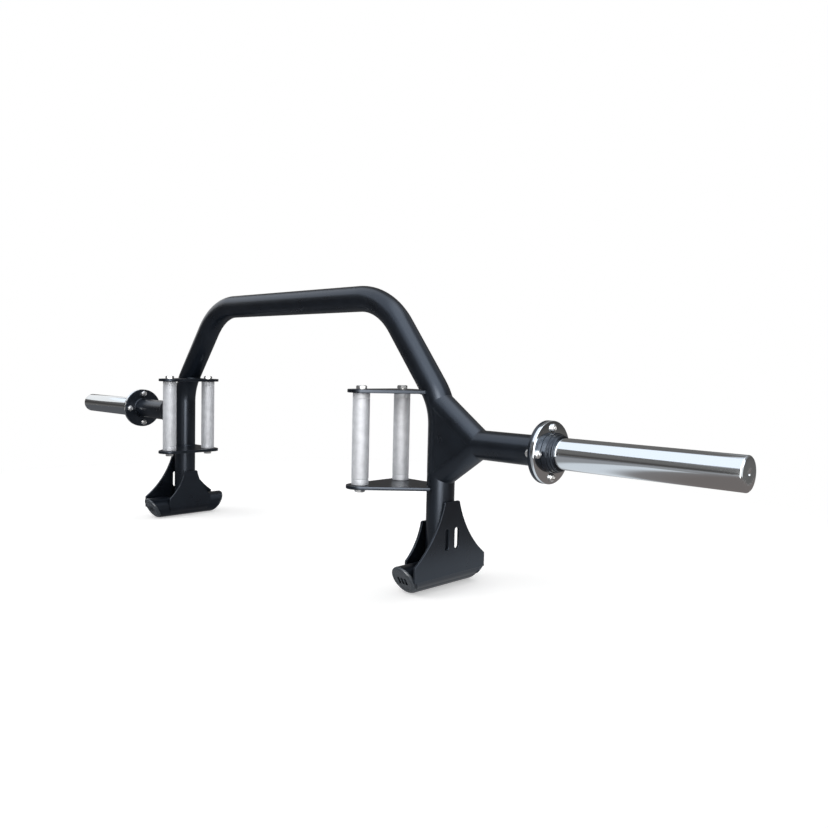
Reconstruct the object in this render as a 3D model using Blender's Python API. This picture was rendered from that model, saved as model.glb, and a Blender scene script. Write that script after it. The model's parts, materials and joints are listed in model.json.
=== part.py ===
"""Open-ended trap bar, built as separate steel pieces in metres with +Z up.

The sleeves lie along X and the bar stands on its two foot tubes at Z = 0.
"""
import bmesh
import bpy
from math import acos, atan2, cos, hypot, pi, radians, sin, sqrt, tan
from mathutils import Matrix, Vector

# Clearances
SEAT_GAP = 0.0003
SCREW_CLEARANCE = 0.0005

# Tube stock
TUBE_RADIUS = 0.025
TUBE_WALL = 0.004
TUBE_BORE = TUBE_RADIUS - TUBE_WALL
TUBE_SIDES = 24
TUBE_CLEAR = TUBE_RADIUS + SEAT_GAP

# Height of the sleeve line over the floor
FOOT_DROP = 0.235
SLEEVE_HEIGHT = FOOT_DROP + TUBE_RADIUS

# Arch, measured from the sleeve line
LEG_X = 0.4385
ARCH_RISE = 0.2588
UPPER_BEND_X = 0.2863
UPPER_BEND_RADIUS = 0.142
UPPER_BEND_STEPS = 8
LOWER_BEND_RISE = 0.065
LOWER_BEND_RADIUS = 0.110
LOWER_BEND_STEPS = 6

# Braces, stub tube and gussets
BRACE_REACH = 0.085
BRACE_RISE = 0.0604
NODE_X = LEG_X + BRACE_REACH
BRACE_LENGTH = hypot(BRACE_REACH, BRACE_RISE)
BRACE_ANGLE = atan2(BRACE_RISE, BRACE_REACH)
MITRE_ANGLE = (pi - BRACE_ANGLE) / 2
STUB_LENGTH = 0.1355
GUSSET_THICKNESS = 0.004
GUSSET_FACE = TUBE_RADIUS - SEAT_GAP

# Flanges
FLANGE_X = NODE_X + STUB_LENGTH
FLANGE_RADIUS = 0.0504
FLANGE_SIDES = 36
FRAME_FLANGE_THICKNESS = 0.0055
SLEEVE_FLANGE_THICKNESS = 0.0062
FLANGE_EDGE = 0.0012
SLEEVE_FLANGE_X = FLANGE_X + FRAME_FLANGE_THICKNESS + SEAT_GAP
SLEEVE_FACE_X = SLEEVE_FLANGE_X + SLEEVE_FLANGE_THICKNESS

# Collar steps as (end, wall): distance from the flange face and wall over the sleeve
COLLAR_STEPS = ((0.0095, 0.0068), (0.015, 0.0052), (0.0185, 0.0038))
COLLAR_LENGTH = 0.020
COLLAR_NOSE_WALL = 0.002

# Sleeve
SLEEVE_RADIUS = 0.025
SLEEVE_LENGTH = 0.3057
SLEEVE_END_X = SLEEVE_FACE_X + SLEEVE_LENGTH
SLEEVE_CHAMFER = 0.002
SLEEVE_SIDES = 32
CENTRE_HOLE_RADIUS = 0.003
CENTRE_HOLE_DEPTH = 0.004

# Flange screws
SCREW_RADIUS = 0.004
SCREW_CIRCLE = 0.039
SCREW_COUNT = 4
SCREW_HEAD_RADIUS = 0.0065
SCREW_HEAD_HEIGHT = 0.0044
SCREW_CROWN_RADIUS = 0.0042
SCREW_SOCKET_FLATS = 0.005
SCREW_SOCKET_DEPTH = 0.0026
SCREW_TIP = 0.0015
SCREW_SIDES = 12
NUT_FLATS = 0.013
NUT_HEIGHT = 0.008
NUT_HEX_HEIGHT = 0.0062
NUT_RIM_RADIUS = 0.0056

# Handles
HANDLE_X = 0.3352
HANDLE_SPACING = 0.102
REAR_HANDLE_Y = 0.002
FRONT_HANDLE_Y = REAR_HANDLE_Y - HANDLE_SPACING
HANDLE_RADIUS = 0.0153
HANDLE_WALL = 0.003
HANDLE_CHAMFER = 0.0008
HANDLE_BORE = HANDLE_RADIUS - HANDLE_WALL
PLATE_RISE = 0.085
PLATE_THICKNESS = 0.006
PLATE_LOBE = 0.025
PLATE_LIP = 0.003
LOBE_STEPS = 8
HANDLE_HALF = PLATE_RISE - PLATE_THICKNESS / 2 - SEAT_GAP
PLUG_LENGTH = 0.024
BOLT_RADIUS = 0.005
BOLT_FLATS = 0.017
BOLT_HEAD_HEIGHT = 0.0064
BOLT_CHAMFER = 0.001
BOLT_REACH = 0.020
BOLT_SIDES = 12

# Feet
FOOT_HALF = 0.0900
FOOT_SLANT = radians(29.5)
CAP_THICKNESS = 0.003
CAP_RIM = 0.002
CAP_RECESS = 0.001
CAP_PLUG_DEPTH = 0.012
CAP_PLUG_WALL = 0.002
CAP_SLOTS = 3
CAP_SLOT_PITCH = 0.0078
CAP_SLOT_WIDTH = 0.0048
CAP_SLOT_HEIGHT = 0.0095
CAP_SLOT_DROP = 0.001
FOOT_PLATE_THICKNESS = 0.0045
FOOT_PLATE_OFFSET = TUBE_RADIUS + SEAT_GAP + FOOT_PLATE_THICKNESS / 2
FOOT_PLATE_CORNER = 0.004
FLARE_STEPS = 8
OUTER_PLATE_TOP = 0.105
OUTER_PLATE_TOP_HALF = 0.020
OUTER_PLATE_SHOULDER = 0.209
OUTER_PLATE_OVERHANG = 0.0022
OUTER_PLATE_BASE_HALF = FOOT_HALF + OUTER_PLATE_OVERHANG
OUTER_PLATE_FLARE = 0.190
INNER_PLATE_TOP = 0.146
INNER_PLATE_TOP_HALF = 0.019
INNER_PLATE_SHOULDER = 0.212
INNER_PLATE_BASE_HALF = 0.057
INNER_PLATE_FLARE = 0.115
WINDOW_OFFSET = 0.013
WINDOW_WIDTH = 0.011
WINDOW_TOP = 0.152
WINDOW_BOTTOM = 0.190
WINDOW_STEPS = 6

# The feet reach further back than the arch, so the tube plane is set off the middle
FOOT_REACH = FOOT_HALF + (CAP_THICKNESS + SEAT_GAP) + TUBE_RADIUS * tan(FOOT_SLANT)
FRONT_REACH = -FRONT_HANDLE_Y + PLATE_LOBE
TUBE_PLANE_Y = (FRONT_REACH - FOOT_REACH) / 2

SIDES = (("left", -1), ("right", 1))


def material(name, colour, roughness, metallic):
    """Make a Principled material."""
    made = bpy.data.materials.new(name)
    made.use_nodes = True
    shader = made.node_tree.nodes["Principled BSDF"]
    shader.inputs["Base Color"].default_value = (*colour, 1.0)
    shader.inputs["Roughness"].default_value = roughness
    shader.inputs["Metallic"].default_value = metallic
    return made


def finish_mesh(name, shape, finish, flat=False):
    """Turn a bmesh into a named object in the frame of the sleeve line."""
    bmesh.ops.recalc_face_normals(shape, faces=shape.faces)
    mesh = bpy.data.meshes.new(name)
    shape.to_mesh(mesh)
    shape.free()
    mesh.materials.append(finish)
    if not flat:
        mesh.shade_smooth()
        mesh.set_sharp_from_angle(angle=radians(35))
    made = bpy.data.objects.new(name, mesh)
    made.location = (0, TUBE_PLANE_Y, SLEEVE_HEIGHT)
    bpy.context.scene.collection.objects.link(made)
    return made


def as_cutter(made):
    """Keep a helper solid out of the finished object."""
    made.hide_render = True
    made.display_type = "WIRE"
    return made


def boolean(target, cutter, operation="DIFFERENCE"):
    """Add an exact Boolean to the target."""
    modifier = target.modifiers.new(cutter.name, "BOOLEAN")
    modifier.operation = operation
    modifier.solver = "EXACT"
    modifier.object = cutter


def circle(radius, sides, phase=0.0):
    """Points on a circle; the phase is in steps past the first axis."""
    angles = [2 * pi * (i + phase) / sides for i in range(sides)]
    return [(radius * cos(a), radius * sin(a)) for a in angles]


def arc(centre, radius, start, end, steps):
    """Points along an arc, both ends included."""
    span = (end - start) / steps
    angles = [start + span * i for i in range(steps + 1)]
    return [(centre[0] + radius * cos(a), centre[1] + radius * sin(a)) for a in angles]


def skin(shape, rings, loop):
    """Join neighbouring rings of points with faces, and the last to the first for a loop."""
    rows = [[shape.verts.new(point) for point in ring] for ring in rings]
    pairs = list(zip(rows, rows[1:]))
    if loop:
        pairs.append((rows[-1], rows[0]))
    for low, high in pairs:
        for i in range(len(low)):
            k = (i + 1) % len(low)
            shape.faces.new((low[i], low[k], high[k], high[i]))
    return rows


def turned(name, profile, sides, axis, at, finish, phase=0.0):
    """Revolve (along, radius) points; a profile that starts and ends at radius 0 is solid."""
    solid = profile[0][1] == 0
    body = profile[1:-1] if solid else profile
    rings = []
    for along, radius in body:
        rings.append([(along, a, b) for a, b in circle(radius, sides, phase)])
    shape = bmesh.new()
    rows = skin(shape, rings, not solid)
    if solid:
        ends = ((rows[0], profile[0], profile[1]), (rows[-1], profile[-1], profile[-2]))
        for row, tip, rim in ends:
            if tip[0] == rim[0]:
                shape.faces.new(row)
                continue
            point = shape.verts.new((tip[0], 0, 0))
            for i in range(sides):
                shape.faces.new((row[i], row[(i + 1) % sides], point))
    return placed(name, shape, axis, at, finish)


def hexagon(flats):
    """Corners and side middles of a hexagon from the size across its flats."""
    corners = circle(flats / sqrt(3), 6)
    points = []
    for (a, b), (c, d) in zip(corners, corners[1:] + corners[:1]):
        points.append((a, b))
        points.append(((a + c) / 2, (b + d) / 2))
    return points


def extruded(name, outline, low, high, place, finish):
    """Extrude a flat outline; place(a, b, depth) gives the point in space."""
    shape = bmesh.new()
    rows = skin(shape, [[place(a, b, d) for a, b in outline] for d in (low, high)], False)
    for row in rows:
        shape.faces.new(row)
    return finish_mesh(name, shape, finish, flat=True)


def level(a, b, depth):
    """Outline in X and Y, depth along Z."""
    return (a, b, depth)


def upright(a, b, depth):
    """Outline in X and Z, depth along Y."""
    return (a, depth, b)


def crosswise(a, b, depth):
    """Outline in Y and Z, depth along X."""
    return (depth, a, b)


def rounded_path(corners, bends):
    """Round the inner corners of a path in X and Z with (radius, steps) bends."""
    points = [corners[0]]
    for before, corner, after, bend in zip(corners, corners[1:], corners[2:], bends):
        radius, steps = bend
        back = (before - corner).normalized()
        ahead = (after - corner).normalized()
        half = back.angle(ahead) / 2
        centre = corner + (back + ahead).normalized() * (radius / sin(half))
        start = corner + back * (radius / tan(half)) - centre
        sweep = pi - 2 * half
        turn = 1 if back.x * ahead.y - back.y * ahead.x < 0 else -1
        for i in range(steps + 1):
            angle = turn * sweep * i / steps
            spun = Matrix.Rotation(angle, 2) @ start
            points.append(centre + spun)
    points.append(corners[-1])
    return points


def arch_path():
    """Centre line of the arch tube in X and Z."""
    foot = -FOOT_DROP
    corners = [Vector(point) for point in (
        (-LEG_X, foot),
        (-LEG_X, LOWER_BEND_RISE),
        (-UPPER_BEND_X, ARCH_RISE),
        (UPPER_BEND_X, ARCH_RISE),
        (LEG_X, LOWER_BEND_RISE),
        (LEG_X, foot),
    )]
    lower = (LOWER_BEND_RADIUS, LOWER_BEND_STEPS)
    upper = (UPPER_BEND_RADIUS, UPPER_BEND_STEPS)
    return rounded_path(corners, (lower, upper, upper, lower))


def arch_x(rise):
    """Distance of the arch centre line from the middle at a height."""
    path = arch_path()
    for low, high in zip(path[:-1], path[1:]):
        if low.y <= rise < high.y:
            share = (rise - low.y) / (high.y - low.y)
            return -(low.x + share * (high.x - low.x))
    raise ValueError("no arch at this height")


def tube_rings(path, radius):
    """Rings of points round a centre line in X and Z, square to its bisectors."""
    rings = []
    for i, point in enumerate(path):
        back = path[max(i - 1, 0)]
        ahead = path[min(i + 1, len(path) - 1)]
        into = (point - back).normalized()
        out = (ahead - point).normalized()
        along = (into + out).normalized()
        across = Vector((-along.y, along.x))
        stretch = 1 / max(along.dot(into), along.dot(out))
        ring = []
        for a, b in circle(radius, TUBE_SIDES):
            spot = point + across * (a * stretch)
            ring.append((spot.x, b, spot.y))
        rings.append(ring)
    return rings


def bent_tube(name, path, radius, bore, finish):
    """Tube round a centre line in X and Z, solid where the bore is 0."""
    shape = bmesh.new()
    rings = tube_rings(path, radius)
    if bore:
        rings += tube_rings(path, bore)[::-1]
    rows = skin(shape, rings, bore > 0)
    if not bore:
        shape.faces.new(rows[0])
        shape.faces.new(rows[-1])
    return finish_mesh(name, shape, finish)


def brace_path(side, rise_sign, past_node):
    """Centre line of a brace from the leg to beyond the node."""
    start = Vector((side * LEG_X, rise_sign * BRACE_RISE))
    node = Vector((side * NODE_X, 0))
    return [start, node + (node - start).normalized() * past_node]


def mitre_region(name, side, points, finish):
    """Prism that keeps one tube's share of the node."""
    outline = [(side * (NODE_X + a), b) for a, b in points]
    return as_cutter(extruded(name, outline, -2 * TUBE_RADIUS, 2 * TUBE_RADIUS, upright, finish))


def make_arch(steel):
    """One bent tube, fish-mouthed on the foot tubes."""
    arch = bent_tube("arch_tube", arch_path(), TUBE_RADIUS, TUBE_BORE, steel)
    for word, side in SIDES:
        saddle = turned(
            "saddle_" + word,
            rod_profile(-TUBE_CLEAR, TUBE_CLEAR, TUBE_CLEAR),
            TUBE_SIDES, (0, 1, 0), (side * LEG_X, 0, -FOOT_DROP), steel)
        boolean(arch, as_cutter(saddle))


def rod_profile(start, end, radius):
    """Plain rod from start to end."""
    return [(start, 0), (start, radius), (end, radius), (end, 0)]


def make_node(word, side, leg_clear, steel):
    """Two braces, the stub tube and the two gussets of one side."""
    reach = 4 * TUBE_RADIUS
    mitre = (reach * cos(MITRE_ANGLE), reach * sin(MITRE_ANGLE))
    split = SEAT_GAP / 2
    clears = []
    for level_word, sign in (("upper", 1), ("lower", -1)):
        label = level_word + "_brace"
        path = brace_path(side, sign, 2 * TUBE_RADIUS)
        brace = bent_tube(label + "_" + word, path, TUBE_RADIUS, TUBE_BORE, steel)
        region = mitre_region(label + "_share_" + word, side, (
            (0, sign * split),
            (mitre[0], sign * (mitre[1] + split)),
            (-2 * BRACE_LENGTH, sign * (mitre[1] + split)),
            (-2 * BRACE_LENGTH, sign * split),
        ), steel)
        boolean(brace, region, "INTERSECT")
        boolean(brace, leg_clear)
        clear = bent_tube(label + "_clear_" + word, path, TUBE_CLEAR, 0, steel)
        clears.append(as_cutter(clear))
    line = [Vector((side * (NODE_X - TUBE_RADIUS), 0)), Vector((side * (FLANGE_X - SEAT_GAP), 0))]
    stub = bent_tube("stub_tube_" + word, line, TUBE_RADIUS, TUBE_BORE, steel)
    region = mitre_region("stub_share_" + word, side, (
        (SEAT_GAP, 0),
        (SEAT_GAP + mitre[0], mitre[1]),
        (2 * STUB_LENGTH, mitre[1]),
        (2 * STUB_LENGTH, -mitre[1]),
        (SEAT_GAP + mitre[0], -mitre[1]),
    ), steel)
    boolean(stub, region, "INTERSECT")
    triangle = [
        (side * LEG_X, BRACE_RISE),
        (side * NODE_X, 0),
        (side * LEG_X, -BRACE_RISE),
    ]
    for face_word, face in (("front", -1), ("rear", 1)):
        gusset = extruded(
            "gusset_" + face_word + "_" + word, triangle,
            face * (GUSSET_FACE - GUSSET_THICKNESS), face * GUSSET_FACE, upright, steel)
        boolean(gusset, leg_clear)
        for clear in clears:
            boolean(gusset, clear)


def screw_places(side):
    """Centres of the flange screws on the sleeve line."""
    spots = []
    for i in range(SCREW_COUNT):
        angle = pi / 2 + 2 * pi * i / SCREW_COUNT
        spots.append((SCREW_CIRCLE * cos(angle), SCREW_CIRCLE * sin(angle)))
    return [(side * FLANGE_X, a, b) for a, b in spots]


def make_flanges(word, side, paint, chrome):
    """The painted disc and the chromed disc with its stepped collar."""
    out = (side, 0, 0)
    edge = FLANGE_EDGE
    disc = turned("frame_flange_" + word, (
        (FLANGE_X, 0),
        (FLANGE_X, FLANGE_RADIUS - edge),
        (FLANGE_X + edge, FLANGE_RADIUS),
        (SLEEVE_FLANGE_X - SEAT_GAP, FLANGE_RADIUS),
        (SLEEVE_FLANGE_X - SEAT_GAP, 0),
    ), FLANGE_SIDES, out, (0, 0, 0), paint, 0.5)
    bore = SLEEVE_RADIUS + SEAT_GAP
    profile = [
        (SLEEVE_FLANGE_X, bore),
        (SLEEVE_FLANGE_X, FLANGE_RADIUS - edge),
        (SLEEVE_FLANGE_X + edge, FLANGE_RADIUS),
        (SLEEVE_FACE_X - 2 * edge, FLANGE_RADIUS),
        (SLEEVE_FACE_X - edge * (2 - sqrt(2)), FLANGE_RADIUS - edge * (2 - sqrt(2))),
        (SLEEVE_FACE_X, FLANGE_RADIUS - 2 * edge),
    ]
    start = 0
    for end, wall in COLLAR_STEPS:
        profile.append((SLEEVE_FACE_X + start, SLEEVE_RADIUS + wall))
        profile.append((SLEEVE_FACE_X + end, SLEEVE_RADIUS + wall))
        start = end
    profile.append((SLEEVE_FACE_X + COLLAR_LENGTH, SLEEVE_RADIUS + COLLAR_NOSE_WALL))
    profile.append((SLEEVE_FACE_X + COLLAR_LENGTH, bore))
    chromed = turned("sleeve_flange_" + word, profile, FLANGE_SIDES, out, (0, 0, 0), chrome, 0.5)
    hole = SCREW_RADIUS + SCREW_CLEARANCE
    depth = SLEEVE_FACE_X - FLANGE_X
    for i, spot in enumerate(screw_places(side)):
        drill = as_cutter(turned(
            "screw_hole_" + word + str(i), rod_profile(-depth, 2 * depth, hole),
            SCREW_SIDES, out, spot, paint))
        boolean(disc, drill)
        boolean(chromed, drill)


def make_sleeve(word, side, chrome):
    """Solid loading sleeve with a chamfered, centre-drilled end."""
    turned("sleeve_bar_" + word, (
        (SLEEVE_FLANGE_X, 0),
        (SLEEVE_FLANGE_X, SLEEVE_RADIUS),
        (SLEEVE_END_X - SLEEVE_CHAMFER, SLEEVE_RADIUS),
        (SLEEVE_END_X, SLEEVE_RADIUS - SLEEVE_CHAMFER),
        (SLEEVE_END_X, CENTRE_HOLE_RADIUS),
        (SLEEVE_END_X - CENTRE_HOLE_DEPTH, 0),
    ), SLEEVE_SIDES, (side, 0, 0), (0, 0, 0), chrome)


def placed(name, shape, axis, spot, finish):
    """Put a solid that was built along +X at a spot, facing along axis."""
    facing = Vector((1, 0, 0)).rotation_difference(Vector(axis)).to_matrix().to_4x4()
    bmesh.ops.transform(shape, matrix=Matrix.Translation(spot) @ facing, verts=shape.verts)
    return finish_mesh(name, shape, finish)


def stacked(sections, capped=True):
    """Solid through sections of (along, points), each with the same number of points."""
    shape = bmesh.new()
    rings = [[(along, a, b) for a, b in points] for along, points in sections]
    rows = skin(shape, rings, not capped)
    if capped:
        shape.faces.new(rows[0])
        shape.faces.new(rows[-1])
    return shape


def socket_screw():
    """Button-head screw along +X, its head under-face at 0, with a hexagon socket."""
    grip = SLEEVE_FACE_X - FLANGE_X + NUT_HEIGHT + SEAT_GAP + SCREW_TIP
    top = SCREW_HEAD_HEIGHT
    socket = hexagon(SCREW_SOCKET_FLATS)
    return stacked([
        (-grip, circle(SCREW_RADIUS, SCREW_SIDES)),
        (0, circle(SCREW_RADIUS, SCREW_SIDES)),
        (0, circle(SCREW_HEAD_RADIUS, SCREW_SIDES)),
        (top / 2, circle(SCREW_HEAD_RADIUS, SCREW_SIDES)),
        (top, circle(SCREW_CROWN_RADIUS, SCREW_SIDES)),
        (top, socket),
        (top - SCREW_SOCKET_DEPTH, socket),
    ])


def lock_nut():
    """Lock nut along +X with its seat at 0 and a rounded rim."""
    flats = hexagon(NUT_FLATS)
    bore = circle(SCREW_RADIUS + SEAT_GAP, SCREW_SIDES)
    return stacked([
        (0, bore),
        (0, flats),
        (NUT_HEX_HEIGHT, flats),
        (NUT_HEIGHT - SCREW_TIP / 2, circle(NUT_RIM_RADIUS, SCREW_SIDES)),
        (NUT_HEIGHT, circle(NUT_RIM_RADIUS - SCREW_TIP / 2, SCREW_SIDES)),
        (NUT_HEIGHT, bore),
    ], capped=False)


def make_flange_fasteners(word, side, zinc):
    """Four screws from the sleeve side and four nuts on the frame side."""
    for i, (_, y, z) in enumerate(screw_places(side)):
        head = (side * (SLEEVE_FACE_X + SEAT_GAP), y, z)
        seat = (side * (FLANGE_X - SEAT_GAP), y, z)
        label = "_" + word + "_" + str(i + 1)
        placed("flange_screw" + label, socket_screw(), (side, 0, 0), head, zinc)
        placed("flange_nut" + label, lock_nut(), (-side, 0, 0), seat, zinc)


def front_tangent(lobe, tip):
    """Angle on the front lobe where a straight edge to the tip leaves it."""
    run = hypot(tip[0] - lobe[0], tip[1] - lobe[1])
    aim = atan2(tip[1] - lobe[1], tip[0] - lobe[0])
    return aim - acos(PLATE_LOBE / run)


def plate_outline(side, rise):
    """Two round lobes under the grips and two lips beside the leg."""
    front = (HANDLE_X, FRONT_HANDLE_Y)
    rear = (HANDLE_X, REAR_HANDLE_Y)
    tip = (arch_x(rise), -TUBE_RADIUS - PLATE_LIP)
    leave = front_tangent(front, tip)
    points = arc(front, PLATE_LOBE, -pi, leave, LOBE_STEPS)
    points.append(tip)
    points.append((tip[0], REAR_HANDLE_Y + PLATE_LOBE))
    points += arc(rear, PLATE_LOBE, pi / 2, pi, LOBE_STEPS)
    return [(side * x, y) for x, y in points]


def hex_bolt():
    """Hex bolt along +X with the under-face of its head at 0."""
    shank = circle(BOLT_RADIUS, BOLT_SIDES)
    flats = hexagon(BOLT_FLATS)
    return stacked([
        (-PLATE_THICKNESS - 2 * SEAT_GAP - BOLT_REACH, shank),
        (0, shank),
        (0, flats),
        (BOLT_HEAD_HEIGHT - BOLT_CHAMFER, flats),
        (BOLT_HEAD_HEIGHT, circle(BOLT_FLATS / 2, BOLT_SIDES)),
    ])


def make_handles(word, side, leg_clear, paint, satin, zinc):
    """Two plates welded round the leg with two grips bolted between them."""
    spots = (("front", FRONT_HANDLE_Y), ("rear", REAR_HANDLE_Y))
    drills = []
    thread = BOLT_RADIUS + SEAT_GAP
    for grip_word, y in spots:
        at = (side * HANDLE_X, y, 0)
        turned("handle_" + grip_word + "_" + word, (
            (-HANDLE_HALF, thread),
            (-HANDLE_HALF, HANDLE_RADIUS - HANDLE_CHAMFER),
            (HANDLE_CHAMFER - HANDLE_HALF, HANDLE_RADIUS),
            (HANDLE_HALF - HANDLE_CHAMFER, HANDLE_RADIUS),
            (HANDLE_HALF, HANDLE_RADIUS - HANDLE_CHAMFER),
            (HANDLE_HALF, thread),
            (HANDLE_HALF - PLUG_LENGTH, thread),
            (HANDLE_HALF - PLUG_LENGTH, HANDLE_BORE),
            (PLUG_LENGTH - HANDLE_HALF, HANDLE_BORE),
            (PLUG_LENGTH - HANDLE_HALF, thread),
        ), TUBE_SIDES, (0, 0, 1), at, satin)
        drills.append(as_cutter(turned(
            "bolt_hole_" + grip_word + "_" + word,
            rod_profile(-2 * PLATE_RISE, 2 * PLATE_RISE, BOLT_RADIUS + SCREW_CLEARANCE),
            BOLT_SIDES, (0, 0, 1), at, paint)))
    for level_word, sign in (("upper", 1), ("lower", -1)):
        rise = sign * PLATE_RISE
        half = PLATE_THICKNESS / 2
        plate = extruded(
            "handle_plate_" + level_word + "_" + word, plate_outline(side, rise),
            rise - half, rise + half, level, paint)
        boolean(plate, leg_clear)
        for drill in drills:
            boolean(plate, drill)
    top = PLATE_RISE + PLATE_THICKNESS / 2 + SEAT_GAP
    number = 0
    for _, y in spots:
        for sign in (1, -1):
            number += 1
            placed(
                "handle_bolt_" + word + "_" + str(number), hex_bolt(),
                (0, 0, sign), (side * HANDLE_X, y, sign * top), zinc)


def foot_plate_outline(top, top_half, shoulder, base_half, flare):
    """Half width grows from the top along a hollow edge, then runs down to the tube."""
    start = Vector((top_half, -top - FOOT_PLATE_CORNER))
    end = Vector((base_half, -shoulder))
    chord = end - start
    middle = (start + end) / 2
    rise = sqrt(flare ** 2 - (chord.length / 2) ** 2)
    centre = middle + Vector((-chord.y, chord.x)).normalized() * rise
    first = atan2(start.y - centre.y, start.x - centre.x) % (2 * pi)
    last = atan2(end.y - centre.y, end.x - centre.x) % (2 * pi)
    edge = arc(centre, flare, first, last, FLARE_STEPS)
    corner = (top_half - FOOT_PLATE_CORNER, -top - FOOT_PLATE_CORNER)
    half = arc(corner, FOOT_PLATE_CORNER, pi / 2, 0, 4)[:-1] + edge
    half.append((base_half, -FOOT_DROP))
    return half + [(-y, z) for y, z in half[::-1]]


def window_outline(centre):
    """Upright slot with round ends."""
    radius = WINDOW_WIDTH / 2
    top = arc((centre, -WINDOW_TOP - radius), radius, 0, pi, WINDOW_STEPS)
    bottom = arc((centre, -WINDOW_BOTTOM + radius), radius, pi, 2 * pi, WINDOW_STEPS)
    return top + bottom


def slanted_ring(x, end, offset, radius):
    """Ring across the foot tube on its slanted end."""
    ring = []
    for a, b in circle(radius, TUBE_SIDES):
        y = end * (FOOT_HALF + offset + b * tan(FOOT_SLANT))
        ring.append((x + a, y, b - FOOT_DROP))
    return ring


def make_foot_cap(name, x, end, plastic):
    """Push-in cup with a raised rim and a row of slots in its face."""
    start = SEAT_GAP
    face = start + CAP_THICKNESS
    plug = TUBE_BORE - SEAT_GAP
    hollow = plug - CAP_PLUG_WALL
    shape = bmesh.new()
    rows = skin(shape, [
        slanted_ring(x, end, start, hollow),
        slanted_ring(x, end, start - CAP_PLUG_DEPTH, hollow),
        slanted_ring(x, end, start - CAP_PLUG_DEPTH, plug),
        slanted_ring(x, end, start, plug),
        slanted_ring(x, end, start, TUBE_RADIUS),
        slanted_ring(x, end, face, TUBE_RADIUS),
        slanted_ring(x, end, face, TUBE_RADIUS - CAP_RIM),
        slanted_ring(x, end, face - CAP_RECESS, TUBE_RADIUS - CAP_RIM - CAP_RECESS),
    ], False)
    shape.faces.new(rows[0])
    shape.faces.new(rows[-1])
    cap = finish_mesh(name, shape, plastic)
    middle = -FOOT_DROP - CAP_SLOT_DROP
    low, high = middle - CAP_SLOT_HEIGHT / 2, middle + CAP_SLOT_HEIGHT / 2
    for i in range(CAP_SLOTS):
        centre = x + (i - (CAP_SLOTS - 1) / 2) * CAP_SLOT_PITCH
        left, right = centre - CAP_SLOT_WIDTH / 2, centre + CAP_SLOT_WIDTH / 2
        slot = extruded(
            name + "_slot" + str(i), [(left, low), (right, low), (right, high), (left, high)],
            end * (FOOT_HALF - 2 * CAP_PLUG_DEPTH), end * (FOOT_HALF + 2 * CAP_PLUG_DEPTH),
            upright, plastic)
        boolean(cap, as_cutter(slot))


def make_foot(word, side, paint, plastic):
    """Cross tube, the two plates that hold it to the leg, and its end caps."""
    x = side * LEG_X
    shape = bmesh.new()
    skin(shape, [
        slanted_ring(x, -1, 0, TUBE_BORE),
        slanted_ring(x, -1, 0, TUBE_RADIUS),
        slanted_ring(x, 1, 0, TUBE_RADIUS),
        slanted_ring(x, 1, 0, TUBE_BORE),
    ], True)
    finish_mesh("foot_tube_" + word, shape, paint)
    make_foot_cap("foot_cap_front_" + word, x, -1, plastic)
    make_foot_cap("foot_cap_rear_" + word, x, 1, plastic)
    half = FOOT_PLATE_THICKNESS / 2
    outer_x = x + side * FOOT_PLATE_OFFSET
    outer = extruded(
        "foot_plate_outer_" + word,
        foot_plate_outline(
            OUTER_PLATE_TOP, OUTER_PLATE_TOP_HALF, OUTER_PLATE_SHOULDER,
            OUTER_PLATE_BASE_HALF, OUTER_PLATE_FLARE),
        outer_x - half, outer_x + half, crosswise, paint)
    for face_word, sign in (("front", -1), ("rear", 1)):
        window = extruded(
            "window_" + face_word + "_" + word, window_outline(sign * WINDOW_OFFSET),
            outer_x - 2 * half, outer_x + 2 * half, crosswise, paint)
        boolean(outer, as_cutter(window))
    inner_x = x - side * FOOT_PLATE_OFFSET
    extruded(
        "foot_plate_inner_" + word,
        foot_plate_outline(
            INNER_PLATE_TOP, INNER_PLATE_TOP_HALF, INNER_PLATE_SHOULDER,
            INNER_PLATE_BASE_HALF, INNER_PLATE_FLARE),
        inner_x - half, inner_x + half, crosswise, paint)


def main():
    """Build the whole bar."""
    for old in list(bpy.data.objects):
        bpy.data.objects.remove(old)
    paint = material("satin_black_paint", (0.018, 0.019, 0.022), 0.42, 0.0)
    chrome = material("hard_chrome", (0.80, 0.80, 0.81), 0.08, 1.0)
    satin = material("satin_steel_grip", (0.62, 0.62, 0.63), 0.35, 1.0)
    zinc = material("zinc_plate", (0.66, 0.66, 0.64), 0.30, 1.0)
    plastic = material("black_plastic", (0.02, 0.02, 0.02), 0.55, 0.0)
    make_arch(paint)
    leg_clear = as_cutter(bent_tube("leg_clear", arch_path(), TUBE_CLEAR, 0, paint))
    for word, side in SIDES:
        make_node(word, side, leg_clear, paint)
        make_flanges(word, side, paint, chrome)
        make_sleeve(word, side, chrome)
        make_flange_fasteners(word, side, zinc)
        make_handles(word, side, leg_clear, paint, satin, zinc)
        make_foot(word, side, paint, plastic)


main()
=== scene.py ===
"""Open-ended trap bar: powder-coated frame, chromed sleeves, knurled grips and studio."""

import json
from math import acos, atan2, cos, hypot, pi, radians, sin, sqrt, tan

import bmesh
import bpy
from mathutils import Matrix, Vector
from mathutils.geometry import tessellate_polygon

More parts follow.
